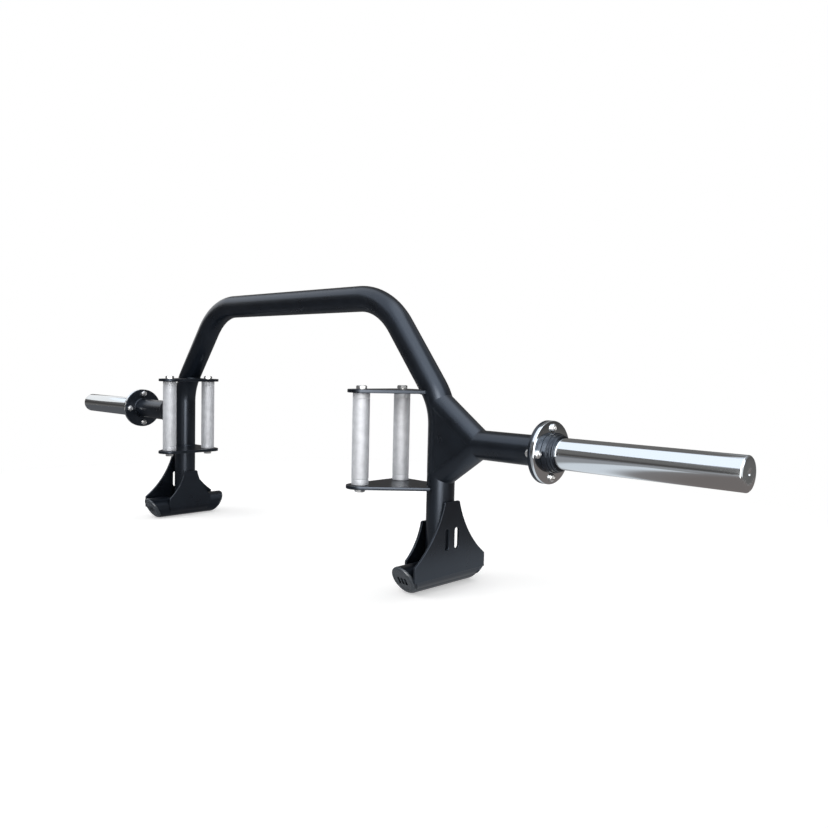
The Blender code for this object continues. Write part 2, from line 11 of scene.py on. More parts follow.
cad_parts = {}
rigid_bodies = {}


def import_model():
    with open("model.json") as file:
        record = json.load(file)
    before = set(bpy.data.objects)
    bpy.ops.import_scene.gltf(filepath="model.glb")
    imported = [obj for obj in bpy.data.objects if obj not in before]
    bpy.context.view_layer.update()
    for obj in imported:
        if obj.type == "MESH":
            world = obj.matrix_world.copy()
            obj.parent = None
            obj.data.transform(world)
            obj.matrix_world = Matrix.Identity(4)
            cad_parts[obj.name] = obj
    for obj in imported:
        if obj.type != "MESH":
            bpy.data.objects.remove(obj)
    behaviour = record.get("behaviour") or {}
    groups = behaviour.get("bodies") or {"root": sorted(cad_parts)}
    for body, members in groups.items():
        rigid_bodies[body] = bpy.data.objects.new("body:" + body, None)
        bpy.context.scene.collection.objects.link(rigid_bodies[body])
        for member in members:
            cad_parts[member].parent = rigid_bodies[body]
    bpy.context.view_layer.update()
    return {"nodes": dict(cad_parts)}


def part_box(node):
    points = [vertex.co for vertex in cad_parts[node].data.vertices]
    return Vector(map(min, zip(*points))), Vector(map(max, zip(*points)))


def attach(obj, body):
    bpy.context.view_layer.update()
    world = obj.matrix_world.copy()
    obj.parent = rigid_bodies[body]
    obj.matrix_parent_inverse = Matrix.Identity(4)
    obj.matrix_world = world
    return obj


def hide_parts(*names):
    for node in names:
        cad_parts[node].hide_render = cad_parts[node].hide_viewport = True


bl_info = {
    "name": "Open-Ended Trap Bar",
    "version": (1, 0, 0),
    "blender": (4, 5, 0),
    "location": "3D View > Sidebar > Trap Bar",
    "description": "Builds the finished look of an open-ended trap bar over its solids",
    "category": "Object",
}

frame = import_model()


def solid(name):
    """Lowest corner, highest corner and middle of a solid's box."""
    low, high = (Vector(corner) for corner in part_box(name))
    return low, high, (low + high) / 2


# Places and sizes taken from the solids, in metres. Pieces are built round ORIGIN, which is
# on the line of the sleeves in the middle of the bar.
SLEEVE_HIGH, SLEEVE_MIDDLE = solid("sleeve_bar_right")[1:]
ORIGIN = Vector((0, SLEEVE_MIDDLE.y, SLEEVE_MIDDLE.z))
SLEEVE_RADIUS = SLEEVE_HIGH.z - ORIGIN.z
FOOT_LOW, FOOT_HIGH, _ = solid("foot_tube_right")
TUBE_RADIUS = (FOOT_HIGH.x - FOOT_LOW.x) / 2
LEG_X = (FOOT_HIGH.x + FOOT_LOW.x) / 2
FOOT_DROP = ORIGIN.z - TUBE_RADIUS
ARCH_RISE = solid("arch_tube")[1].z - ORIGIN.z - TUBE_RADIUS
DISC_LOW, DISC_HIGH, _ = solid("frame_flange_right")
CHROME_LOW, CHROME_HIGH, _ = solid("sleeve_flange_right")
GRIP_LOW, GRIP_HIGH, GRIP_MIDDLE = solid("handle_rear_right")
REAR_GRIP = GRIP_MIDDLE - ORIGIN
FRONT_GRIP = solid("handle_front_right")[2] - ORIGIN
PLATE_LOW, PLATE_HIGH, PLATE_MIDDLE = solid("handle_plate_upper_right")
OUTER_LOW, OUTER_HIGH, _ = solid("foot_plate_outer_right")
INNER_LOW, INNER_HIGH, _ = solid("foot_plate_inner_right")

# Sizes that the solids' boxes don't show
TUBE_WALL = 0.004
TUBE_BORE = TUBE_RADIUS - TUBE_WALL
# Between pieces that seat on each other
SEAT_GAP = 0.0003
COLLAR_LENGTH = 0.020
FLANGE_FACE_X = CHROME_HIGH.x - COLLAR_LENGTH
# Reach from the flange's face and wall over the sleeve, for each step of the collar
COLLAR_STEPS = ((0.0095, 0.0068), (0.015, 0.0052), (0.0185, 0.0038))
COLLAR_NOSE_WALL = 0.002
# Cut of the foot tube's ends, and half of its length at the height of its middle
FOOT_SLANT = radians(29.5)
FOOT_HALF = 0.0900

SIDES = (("left", -1), ("right", 1))
LEVELS = (("upper", 1), ("lower", -1))
FACES = (("front", -1), ("rear", 1))
TUBE_SIDES = 64
TURNED_SIDES = 96
BOLT_SIDES = 48
BEAD_SIDES = 12


def length(name, description, default):
    """Setting that holds a length in metres."""
    return bpy.props.FloatProperty(
        name=name, description=description, default=default, unit="LENGTH")


def hex_colour(name, used_on, default):
    """Setting that holds an sRGB hex colour."""
    return bpy.props.StringProperty(
        name=name, description=f"Hex colour of the {used_on}", default=default)


class TrapBarSizes(bpy.types.PropertyGroup):
    """Sizes of the bar that aren't read from the solids."""

    upper_bend_x: length(
        "Upper bend", "Distance of the upper bends' corners from the middle", 0.2863)
    upper_bend_radius: length(
        "Upper bend radius", "Centre-line radius of the upper bends", 0.142)
    lower_bend_rise: length(
        "Lower bend", "Height of the lower bends' corners over the sleeve line", 0.065)
    lower_bend_radius: length(
        "Lower bend radius", "Centre-line radius of the lower bends", 0.110)
    brace_reach: length(
        "Brace reach", "Distance from the leg to the point where braces meet", 0.085)
    brace_rise: length("Brace rise", "Height of a brace's start over the sleeve line", 0.0604)
    bead_radius: length("Weld bead", "Radius of the weld beads", 0.0034)
    bead_sink: length("Weld depth", "How deep a bead's centre lies in the tubes", 0.0028)
    plate_edge: length("Plate edge", "Rounding of the cut plates' edges", 0.0007)


class TrapBarFinish(bpy.types.PropertyGroup):
    """Colours of the finishes."""

    paint: hex_colour("Powder coat", "frame's coat", "#0A0F16")
    chrome: hex_colour("Chrome", "chromed sleeves", "#E1E6EA")
    grip: hex_colour("Grips", "knurled grips", "#DADCE0")
    zinc: hex_colour("Zinc", "bolts and nuts", "#E4E4E2")
    plastic: hex_colour("Caps", "plastic end caps", "#3A4046")


def bar_sizes():
    """The settings of the bar's sizes."""
    return bpy.context.scene.trapbar_sizes


def linear(colour):
    """Linear RGBA from an sRGB hex string such as '#1C1D20'."""
    channels = [int(colour[i:i + 2], 16) / 255 for i in (1, 3, 5)]
    curve = [c / 12.92 if c <= 0.04045 else ((c + 0.055) / 1.055) ** 2.4 for c in channels]
    return (*curve, 1.0)


def put(tree, kind, settings):
    """Add a node. A setting is a value, a ramp's stops, or a node or socket to link."""
    made = tree.nodes.new(f"ShaderNode{kind}")
    for key, value in settings.items():
        if isinstance(value, bpy.types.Node):
            value = value.outputs[0]
        if isinstance(value, bpy.types.NodeSocket):
            tree.links.new(value, made.inputs[key])
        elif key == "stops":
            elements = made.color_ramp.elements
            for _ in value[2:]:
                elements.new(0.5)
            for element, (position, colour) in zip(elements, value):
                element.position = position
                element.color = linear(colour)
        elif isinstance(key, int) or key in made.inputs:
            made.inputs[key].default_value = value
        else:
            setattr(made, key, value)
    return made


def surface(name, shader_of, *settings):
    """Material that shows what shader_of adds to its node tree."""
    made = bpy.data.materials.new(name)
    made.use_nodes = True
    tree = made.node_tree
    tree.nodes.clear()
    put(tree, "OutputMaterial", {"Surface": shader_of(tree, *settings)})
    return made


def own_place(tree):
    """Coordinates of the piece itself, as one vector and apart."""
    place = put(tree, "TexCoord", {}).outputs["Object"]
    return place, put(tree, "SeparateXYZ", {"Vector": place}).outputs


def powder_coat(tree, colour):
    """Polyester powder coat, baked on steel: near black with an orange-peel skin."""
    place = put(tree, "TexCoord", {}).outputs["Object"]
    # Flow ripple of the baked coat, about 2 mm from crest to crest
    peel = put(tree, "TexNoise", {"Scale": 500.0, "Detail": 2.0, "Vector": place})
    # Uneven thickness of the coat, over some 30 mm
    cloud = put(tree, "TexNoise", {"Scale": 30.0, "Detail": 3.0, "Vector": place})
    return put(tree, "BsdfPrincipled", {
        "Base Color": put(tree, "ValToRGB", {
            "Fac": cloud, "stops": ((0.35, colour), (0.75, "#11171F"))}),
        "Roughness": put(tree, "MapRange", {"To Min": 0.25, "To Max": 0.32, "Value": cloud}),
        "Normal": put(tree, "Bump", {"Strength": 0.10, "Distance": 0.0002, "Height": peel}),
        "IOR": 1.6, "Specular Tint": (0.74, 0.84, 1.0, 1.0)})


def hard_chrome(tree, colour):
    """Hard chrome over turned steel: mirror bright, with the lathe's rings just to be seen."""
    place, axes = own_place(tree)
    # Turning marks, drawn 1 mm apart so that they show
    rings = put(tree, "TexNoise", {
        "noise_dimensions": "1D", "Scale": 1000.0, "Detail": 3.0, "W": axes["Z"]})
    # Uneven polish, over some 17 mm
    cloud = put(tree, "TexNoise", {"Scale": 60.0, "Detail": 4.0, "Vector": place})
    return put(tree, "BsdfPrincipled", {
        "Metallic": 1.0, "Base Color": linear(colour),
        "Roughness": put(tree, "MapRange", {"To Min": 0.055, "To Max": 0.13, "Value": cloud}),
        "Normal": put(tree, "Bump", {"Strength": 0.05, "Distance": 0.0001, "Height": rings})})


def knurled_steel(tree, colour):
    """Knurled and satin-chromed steel: fine crossed ridges that scatter the light."""
    place, axes = own_place(tree)
    # A real knurl of about 1.5 mm, drawn 2 mm apart so that it shows: 48 ridges round the
    # grip, and 3140 radians of the same wave in each metre along it
    turn = put(tree, "Math", {"operation": "ARCTAN2", 0: axes["Y"], 1: axes["X"]})
    around = put(tree, "Math", {"operation": "MULTIPLY", 0: turn, 1: 48.0})
    along = put(tree, "Math", {"operation": "MULTIPLY", 0: axes["Z"], 1: 3140.0})
    ridges = []
    for lean in ("ADD", "SUBTRACT"):
        phase = put(tree, "Math", {"operation": lean, 0: around, 1: along})
        ridges.append(put(tree, "Math", {"operation": "SINE", 0: phase}))
    height = combined(tree, "MINIMUM", ridges)
    # Worn and greyer patches, some 11 mm across
    cloud = put(tree, "TexNoise", {"Scale": 90.0, "Detail": 3.0, "Vector": place})
    return put(tree, "BsdfPrincipled", {
        "Metallic": 0.5, "Roughness": 0.62,
        "Base Color": put(tree, "ValToRGB", {
            "Fac": cloud, "stops": ((0.3, "#CACCD0"), (0.7, colour))}),
        "Normal": put(tree, "Bump", {"Strength": 0.25, "Distance": 0.0002, "Height": height})})


def bright_zinc(tree, colour):
    """Bright zinc plate on steel fasteners: silvery, a little cloudy."""
    place = put(tree, "TexCoord", {}).outputs["Object"]
    # Clouds of the plating bath, 4 to 5 mm across
    cloud = put(tree, "TexNoise", {"Scale": 220.0, "Detail": 4.0, "Vector": place})
    return put(tree, "BsdfPrincipled", {
        "Metallic": 0.85,
        "Base Color": put(tree, "ValToRGB", {
            "Fac": cloud, "stops": ((0.3, "#D2D4D6"), (0.7, colour))}),
        "Roughness": put(tree, "MapRange", {"To Min": 0.22, "To Max": 0.34, "Value": cloud}),
        "Normal": put(tree, "Bump", {"Strength": 0.06, "Distance": 0.0001, "Height": cloud})})


def moulded_plastic(tree, colour):
    """Injection-moulded polyethylene: dark, softly shining, with a spark-eroded grain."""
    place = put(tree, "TexCoord", {}).outputs["Object"]
    # Mould grain about 0.7 mm across
    grain = put(tree, "TexNoise", {"Scale": 1400.0, "Detail": 3.0, "Vector": place})
    return put(tree, "BsdfPrincipled", {
        "Roughness": 0.22, "IOR": 1.62,
        "Base Color": put(tree, "ValToRGB", {
            "Fac": grain, "stops": ((0.3, colour), (0.8, "#4A5058"))}),
        "Normal": put(tree, "Bump", {"Strength": 0.2, "Distance": 0.0002, "Height": grain})})


# The record's slots: the material's name, its shader and the setting of its colour
FINISHES = {
    "frame_paint": ("satin_black_powder_coat", powder_coat, "paint"),
    "chrome": ("polished_hard_chrome", hard_chrome, "chrome"),
    "grip_steel": ("satin_knurled_steel", knurled_steel, "grip"),
    "zinc": ("bright_zinc_plate", bright_zinc, "zinc"),
    "cap_plastic": ("moulded_black_plastic", moulded_plastic, "plastic"),
}


def finish_for(slot):
    """The material of one of the record's slots, made when it is first asked for."""
    name, shader_of, colour = FINISHES[slot]
    if name not in bpy.data.materials:
        surface(name, shader_of, getattr(bpy.context.scene.trapbar_finish, colour))
    return bpy.data.materials[name]


def add_object(name, data):
    """Link a mesh, camera or light to the scene as an object."""
    made = bpy.data.objects.new(name, data)
    bpy.context.scene.collection.objects.link(made)
    return made


def add_piece(name, shape, slot="frame_paint", place=Matrix(), crease=32.0):
    """Turn a bmesh into a piece that rides on the frame; its flat faces stay flat."""
    bmesh.ops.recalc_face_normals(shape, faces=shape.faces)
    mesh = bpy.data.meshes.new(name)
    shape.to_mesh(mesh)
    shape.free()
    mesh.materials.append(finish_for(slot))
    flat = [polygon.index for polygon in mesh.polygons if not polygon.use_smooth]
    mesh.shade_smooth()
    mesh.set_sharp_from_angle(angle=radians(crease))
    for index in flat:
        mesh.polygons[index].use_smooth = False
    made = add_object(name, mesh)
    made.matrix_world = Matrix.Translation(ORIGIN) @ place
    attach(made, "root")
    return made


def add_fine(node, shape, slot="frame_paint", place=Matrix()):
    """Add the finer piece that takes the place of a solid."""
    made = add_piece(f"{node}_fine", shape, slot, place)
    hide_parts(node)


def skin(shape, rings, loop=False, caps=False):
    """Join rings of points with smooth faces; a loop joins the last to the first."""
    rows = [[shape.verts.new(point) for point in ring] for ring in rings]
    pairs = list(zip(rows, rows[1:]))
    if loop:
        pairs.append((rows[-1], rows[0]))
    for low, high in pairs:
        for i in range(len(low)):
            k = (i + 1) % len(low)
            shape.faces.new((low[i], low[k], high[k], high[i])).smooth = True
    if caps:
        shape.faces.new(rows[0])
        shape.faces.new(rows[-1])
    return rows


def skinned(rings, loop=False, caps=False):
    """New shape through rings of points."""
    shape = bmesh.new()
    skin(shape, rings, loop, caps)
    return shape


def fill_flat(shape, loops):
    """Fill a flat end between an outline and its holes, each with 2D points and vertices."""
    points = [[Vector((a, b, 0)) for a, b in outline] for outline, _ in loops]
    verts = [vert for _, row in loops for vert in row]
    for corners in tessellate_polygon(points):
        shape.faces.new([verts[i] for i in corners])


def circle(radius, sides=TUBE_SIDES):
    """Points on a circle."""
    angles = [2 * pi * i / sides for i in range(sides)]
    return [(radius * cos(a), radius * sin(a)) for a in angles]


def arc(centre, radius, start, end, steps):
    """Points along an arc, both ends included."""
    span = (end - start) / steps
    angles = [start + span * i for i in range(steps + 1)]
    return [(centre[0] + radius * cos(a), centre[1] + radius * sin(a)) for a in angles]


def eased(points, radius, steps=4, closed=False):
    """Round the corners of a line of 2D points."""
    count = len(points)
    result = []
    for i, point in enumerate(points):
        if not closed and i in (0, count - 1):
            result.append(point)
            continue
        spot = Vector(point)
        back = Vector(points[i - 1]) - spot
        ahead = Vector(points[(i + 1) % count]) - spot
        # A short side keeps a tenth of its length straight
        first = spot + back.normalized() * min(radius, back.length * 0.45)
        last = spot + ahead.normalized() * min(radius, ahead.length * 0.45)
        for k in range(steps + 1):
            t = k / steps
            bend = first * (1 - t) ** 2 + spot * (2 * t * (1 - t)) + last * t ** 2
            result.append((bend.x, bend.y))
    return result


def edge_of(inside, low, high):
    """The value between low and high up to which a test holds."""
    for _ in range(26):
        middle = (low + high) / 2
        if inside(middle):
            low = middle
        else:
            high = middle
    return high


def facing(axis, spot=(0, 0, 0)):
    """Matrix that stands a piece built along +Z at a spot, facing along an axis."""
    turn = Vector((0, 0, 1)).rotation_difference(Vector(axis)).to_matrix().to_4x4()
    return Matrix.Translation(spot) @ turn


def round_ring(radius, along, sides=BOLT_SIDES):
    """Ring of points on a circle at a height."""
    return [(a, b, along) for a, b in circle(radius, sides)]


def turned(profile):
    """Revolve (radius, along) points round +Z; a profile that ends at radius 0 is closed."""
    shape = bmesh.new()
    full = profile[0][0] == 0
    body = profile[1:-1] if full else profile
    rows = skin(shape, [round_ring(*point, TURNED_SIDES) for point in body], loop=not full)
    if full:
        for row, tip in ((rows[0], profile[0]), (rows[-1], profile[-1])):
            point = shape.verts.new((0, 0, tip[1]))
            for i in range(TURNED_SIDES):
                shape.faces.new((row[i], row[(i + 1) % TURNED_SIDES], point)).smooth = True
    return shape


def offset_loop(points, distance):
    """Move a closed 2D outline inward by a distance (outward where it is negative)."""
    area = sum(a[0] * b[1] - b[0] * a[1] for a, b in zip(points, points[1:] + points[:1]))
    turn = 1 if area > 0 else -1
    moved = []
    for i, point in enumerate(points):
        into = (Vector(point) - Vector(points[i - 1])).normalized()
        out = (Vector(points[(i + 1) % len(points)]) - Vector(point)).normalized()
        normal = Vector((-into.y - out.y, into.x + out.x)).normalized()
        # A sharp corner moves at most three times as far as its sides
        stretch = max(normal.dot(Vector((-into.y, into.x))), 0.35)
        step = normal * (turn * distance / stretch)
        moved.append((point[0] + step.x, point[1] + step.y))
    return moved


def cut_plate(outline, holes, low, high, place):
    """Flat plate with holes and rounded edges; place(a, b, depth) gives the point in space."""
    edge = bar_sizes().plate_edge
    angles = [radians(turn) for turn in (0, 30, 60, 90)]
    rises = [(edge * (1 - sin(a)), edge * (1 - cos(a))) for a in angles]
    levels = [(inset, low + rise) for inset, rise in rises]
    levels += [(inset, high - rise) for inset, rise in rises[::-1]]
    shape = bmesh.new()
    ends = [[], []]
    for loop, sign in [(outline, 1)] + [(hole, -1) for hole in holes]:
        rows = skin(shape, [
            [place(a, b, depth) for a, b in offset_loop(loop, sign * inset)]
            for inset, depth in levels])
        for end, row in zip(ends, (rows[0], rows[-1])):
            end.append((offset_loop(loop, sign * edge), row))
    for loops in ends:
        fill_flat(shape, loops)
    return shape


def level_place(a, b, depth):
    """Outline in X and Y, depth along Z."""
    return (a, b, depth)


def crosswise_place(a, b, depth):
    """Outline in Y and Z, depth along X."""
    return (depth, a, b)


def rounded_path(corners, bends):
    """Round the inner corners of a path in X and Z with (radius, steps) bends."""
    points = [corners[0]]
    for before, corner, after, bend in zip(corners, corners[1:], corners[2:], bends):
        radius, steps = bend
        back = (before - corner).normalized()
        ahead = (after - corner).normalized()
        half = back.angle(ahead) / 2
        centre = corner + (back + ahead).normalized() * (radius / sin(half))
        start = corner + back * (radius / tan(half)) - centre
        sweep = pi - 2 * half
        turn = 1 if back.x * ahead.y - back.y * ahead.x < 0 else -1
        for i in range(steps + 1):
            points.append(centre + Matrix.Rotation(turn * sweep * i / steps, 2) @ start)
    points.append(corners[-1])
    return points


def arch_path():
    """Centre line of the arch tube in X and Z."""
    sizes = bar_sizes()
    corners = [Vector(point) for point in (
        (-LEG_X, -FOOT_DROP),
        (-LEG_X, sizes.lower_bend_rise),
        (-sizes.upper_bend_x, ARCH_RISE),
        (sizes.upper_bend_x, ARCH_RISE),
        (LEG_X, sizes.lower_bend_rise),
        (LEG_X, -FOOT_DROP),
    )]
    lower = (sizes.lower_bend_radius, 20)
    upper = (sizes.upper_bend_radius, 28)
    return rounded_path(corners, (lower, upper, upper, lower))


def leg_path(side):
    """The arch's centre line on one side, from the foot to the top, as points in space."""
    half = [Vector((point.x, 0, point.y)) for point in arch_path() if point.x * side > 0]
    return half[::-side]


def nearest(point, path):
    """Distance from a point to a centre line, and the closest point on the line."""
    best = None
    for low, high in zip(path, path[1:]):
        along = high - low
        share = min(max((point - low).dot(along) / along.length_squared, 0), 1)
        spot = low + along * share
        gap = (point - spot).length
        if best is None or gap < best[0]:
            best = (gap, spot)
    return best


def arch_x(rise):
    """Distance of the arch's centre line from the middle at a height."""
    path = arch_path()
    for low, high in zip(path, path[1:]):
        if low.y <= rise < high.y:
            share = (rise - low.y) / (high.y - low.y)
            return -(low.x + share * (high.x - low.x))
    raise ValueError("no arch at this height")


def tube_rings(path, radius):
    """Rings of points round a centre line in X and Z."""
    rings = []
    for i, point in enumerate(path):
        into = point - path[max(i - 1, 0)]
        out = path[min(i + 1, len(path) - 1)] - point
        along = (into.normalized() + out.normalized()).normalized()
        across = Vector((-along.y, along.x))
        spots = [(point + across * a, b) for a, b in circle(radius)]
        rings.append([(spot.x, b, spot.y) for spot, b in spots])
    return rings


def saddle_end(ring):
    """Move a leg's end ring down on the foot tube that it straddles."""
    return [(x, y, sqrt(max(TUBE_RADIUS ** 2 - (abs(x) - LEG_X) ** 2, 0)) - FOOT_DROP)
            for x, y, _ in ring]


def bead(name, path, share, closed=False):
    """Rippled weld bead along points in space; it tapers at open ends."""
    radius = share * bar_sizes().bead_radius
    step, ripple, swell = 0.0010, 4, 0.03
    spaced = [path[0]]
    for point in path[1:] + path[:1] if closed else path[1:]:
        gap = point - spaced[-1]
        while gap.length > 1.1 * step:
            spaced.append(spaced[-1] + gap.normalized() * step)
            gap = point - spaced[-1]
    rings = []
    last = len(spaced) - 1
    for i, point in enumerate(spaced):
        back = spaced[i - 1] if closed or i else point
        ahead = spaced[(i + 1) % len(spaced)] if closed or i < last else point
        along = (ahead - back).normalized()
        across = across if i else along.orthogonal()
        across = (across - along * across.dot(along)).normalized()
        other = along.cross(across)
        size = radius * (1 + swell * sin(i * 2 * pi / ripple))
        if not closed:
            size *= min(1, sqrt((min(i, last - i) + 0.3) / ripple))
        rings.append([point + across * a + other * b for a, b in circle(size, BEAD_SIDES)])
    shape = bmesh.new()
    rows = skin(shape, rings, caps=not closed)
    if closed:
        join_twisted(shape, rows[-1], rows[0])
    add_piece(name, shape, crease=80.0)


def join_twisted(shape, last, first):
    """Join the last row of a closed bead to the first, turned to the nearest match."""
    count = len(first)
    shift = min(range(count), key=lambda s: sum(
        (last[i].co - first[(i + s) % count].co).length for i in range(0, count, 3)))
    for i in range(count):
        k = (i + 1) % count
        shape.faces.new((
            last[i], last[k], first[(k + shift) % count], first[(i + shift) % count],
        )).smooth = True


class TRAPBAR_OT_stage(bpy.types.Operator):
    """Add the camera, the floor, the studio light and the cards that the bar reflects"""

    bl_idname = "trapbar.stage"
    bl_label = "Studio"

    def execute(self, context):
        add_camera(context)
        add_floor()
        add_world(context)
        add_lamps()
        add_cards()
        return {"FINISHED"}


def add_camera(context):
    """Camera that sees the bar as the photograph does; its place was fitted to the outline."""
    view = bpy.data.cameras.new("photo_camera")
    view.sensor_width = 36.0
    view.lens = 34.3
    view.clip_end = 100.0
    camera = add_object("photo_camera", view)
    right = Vector((0.71940967, 0.69421957, 0.02255916))
    up = Vector((-0.05823557, 0.02792081, 0.99791234))
    back = Vector((0.69214041, -0.71922154, 0.06051477))
    turn = Matrix((right, up, back)).transposed().to_4x4()
    spot = Vector((1.3682660, ORIGIN.y - 1.0386734, 0.3905345))
    camera.matrix_world = Matrix.Translation(spot) @ turn
    context.scene.camera = camera
    context.scene.view_settings.view_transform = "Standard"


def combined(tree, operation, sources):
    """MAXIMUM or MINIMUM of several sockets."""
    result = sources[0]
    for source in sources[1:]:
        result = put(tree, "Math", {"operation": operation, 0: result, 1: source})
    return result


def white_rays(tree):
    """1 for rays from the camera, a reflection or clear material."""
    path = put(tree, "LightPath", {})
    names = ("Is Camera Ray", "Is Glossy Ray", "Is Transmission Ray")
    return combined(tree, "MAXIMUM", [path.outputs[name] for name in names])


def mask(tree, ramps, operation="MAXIMUM"):
    """Smooth steps of (socket, low, high), from 0 at low to 1 at high, made into one."""
    steps = [put(tree, "MapRange", {
        "interpolation_type": "SMOOTHSTEP", "From Min": low, "From Max": high, "Value": value,
    }) for value, low, high in ramps]
    return combined(tree, operation, steps)


def flat_object(name, faces, material):
    """Object of flat faces, each given by its corners."""
    shape = bmesh.new()
    for corners in faces:
        shape.faces.new([shape.verts.new(corner) for corner in corners])
    mesh = bpy.data.meshes.new(name)
    shape.to_mesh(mesh)
    shape.free()
    mesh.materials.append(material)
    made = add_object(name, mesh)
    return made


def floor_shader(tree):
    """Pale paper with its shadows, brightened for the camera, and plain white far out."""
    paper = put(tree, "BsdfDiffuse", {"Color": (0.85, 0.85, 0.85, 1)})
    glow = put(tree, "Emission", {"Strength": 0.42})
    near = put(tree, "AddShader", {0: paper, 1: glow})
    white = put(tree, "Emission", {})
    place = put(tree, "TexCoord", {}).outputs["Object"]
    reach = put(tree, "VectorMath", {"operation": "LENGTH", 0: place}).outputs["Value"]
    shown = put(tree, "MixShader", {0: mask(tree, [(reach, 0.9, 1.5)]), 1: near, 2: white})
    return put(tree, "MixShader", {0: white_rays(tree), 1: paper, 2: shown})


def add_floor():
    """White floor that shows a soft shadow near the bar and is plain white beyond."""
    reach = 40.0
    corners = [(-reach, -reach, 0), (reach, -reach, 0), (reach, reach, 0), (-reach, reach, 0)]
    flat_object("studio_floor", [corners], surface("white_paper_floor", floor_shader))


def add_world(context):
    """Soft even light, shown as white behind the bar."""
    world = bpy.data.worlds.new("studio_light")
    context.scene.world = world
    world.use_nodes = True
    tree = world.node_tree
    tree.nodes.clear()
    soft = put(tree, "Background", {"Strength": 0.55, "Color": (1, 1, 1, 1)})
    white = put(tree, "Background", {"Color": (1, 1, 1, 1)})
    mixed = put(tree, "MixShader", {0: white_rays(tree), 1: soft, 2: white})
    put(tree, "OutputWorld", {"Surface": mixed})


def add_lamps():
    """Two soft boxes that light the bar and the floor evenly."""
    for name, place, size, power in (
        ("front_light", (-0.8, -1.6, 2.2), 2.0, 26.0),
        ("back_light", (0.4, 1.8, 2.0), 1.6, 14.0),
    ):
        lamp = bpy.data.lights.new(name, "AREA")
        lamp.size = size
        lamp.energy = power
        made = add_object(name, lamp)
        made.location = place
        aim = Vector((0, 0, 0.3)) - Vector(place)
        made.rotation_euler = aim.to_track_quat("-Z", "Y").to_euler()
        made.visible_camera = False
        made.visible_glossy = False


def wall_shader(tree):
    """Grey cloth, darkest a little above the ground and lighter high up on the right."""
    _, axes = own_place(tree)
    tone = put(tree, "ValToRGB", {"Fac": mask(tree, [(axes["Z"], 0.0, 1.0)]), "stops": (
        (0.0, "#6B6967"), (0.25, "#413F3E"), (0.5, "#5A5857"), (1.0, "#716F6D"))})
    cloth = put(tree, "Emission", {"Color": tone})
    light = put(tree, "Emission", {"Color": linear("#A9ACB0")})
    high_right = mask(tree, [(axes["Z"], 1.2, 2.2), (axes["X"], -0.3, 0.1)], "MINIMUM")
    return put(tree, "MixShader", {0: high_right, 1: cloth, 2: light})


def ground_shader(tree):
    """Grey ground with one lit patch of white paper beside the right foot."""
    _, axes = own_place(tree)
    beside_paper = mask(tree, [
        (axes["X"], 0.60, 0.70), (axes["X"], 0.51, 0.44),
        (axes["Y"], -0.58, -0.72), (axes["Y"], 0.30, 0.50)])
    across = put(tree, "MapRange", {"From Min": -1.0, "From Max": 1.0, "Value": axes["X"]})
    tone = put(tree, "ValToRGB", {"Fac": across, "stops": (
        (0.0, "#5C5D60"), (0.3, "#6E6F72"), (0.55, "#999A9D"), (0.75, "#9B9C9E"),
        (0.9, "#7A7370"))})
    ground = put(tree, "Emission", {"Color": tone})
    paper = put(tree, "Emission", {"Color": linear("#E0E5EA")})
    return put(tree, "MixShader", {0: beside_paper, 1: paper, 2: ground})


def window_shader(tree):
    """Tall window that is brightest along its middle and clear at its sides."""
    _, axes = own_place(tree)
    side = put(tree, "Math", {"operation": "ABSOLUTE", 0: axes["X"]})
    glow = put(tree, "Emission", {"Strength": 7.8, "Color": linear("#FFFDFB")})
    clear = put(tree, "BsdfTransparent", {})
    return put(tree, "MixShader", {0: mask(tree, [(side, 0.55, 0.0)]), 1: clear, 2: glow})


def ceiling_shader(tree):
    """White ceiling, brighter over the right half of the bar, with one grey rear corner."""
    _, axes = own_place(tree)
    aside = mask(tree, [
        (axes["X"], 0.5, 0.0), (axes["Y"], 0.8, 1.6), (axes["Y"], -3.0, -4.2)])
    lit = put(tree, "Emission", {"Strength": 2.6, "Color": linear("#F4F9FF")})
    rest = put(tree, "Emission", {"Strength": 1.28, "Color": linear("#F0F6FF")})
    white = put(tree, "MixShader", {0: aside, 1: lit, 2: rest})
    rear_left = mask(tree, [(axes["X"], -0.2, -0.6), (axes["Y"], 0.9, 1.5)], "MINIMUM")
    grey = put(tree, "Emission", {"Color": linear("#6B6967")})
    return put(tree, "MixShader", {0: rear_left, 1: white, 2: grey})


def screen_height(degrees):
    """Height of the grey screens: low on the left, high behind the bar."""
    steps = ((18, 4.3), (143, 4.3), (160, 0.60), (192, 0.62), (212, 1.6), (230, 1.95),
             (283, 1.85))
    for (low, first), (high, last) in zip(steps, steps[1:]):
        if degrees <= high:
            return first + (last - first) * (degrees - low) / (high - low)
    return steps[-1][1]


def add_card(name, faces, shader_of):
    """Studio card that only shows in reflections."""
    made = flat_object(name, faces, surface(f"{name}_cloth", shader_of))
    made.visible_camera = False
    made.visible_diffuse = False
    made.visible_shadow = False
    made.visible_transmission = False
    made.visible_volume_scatter = False
    return made


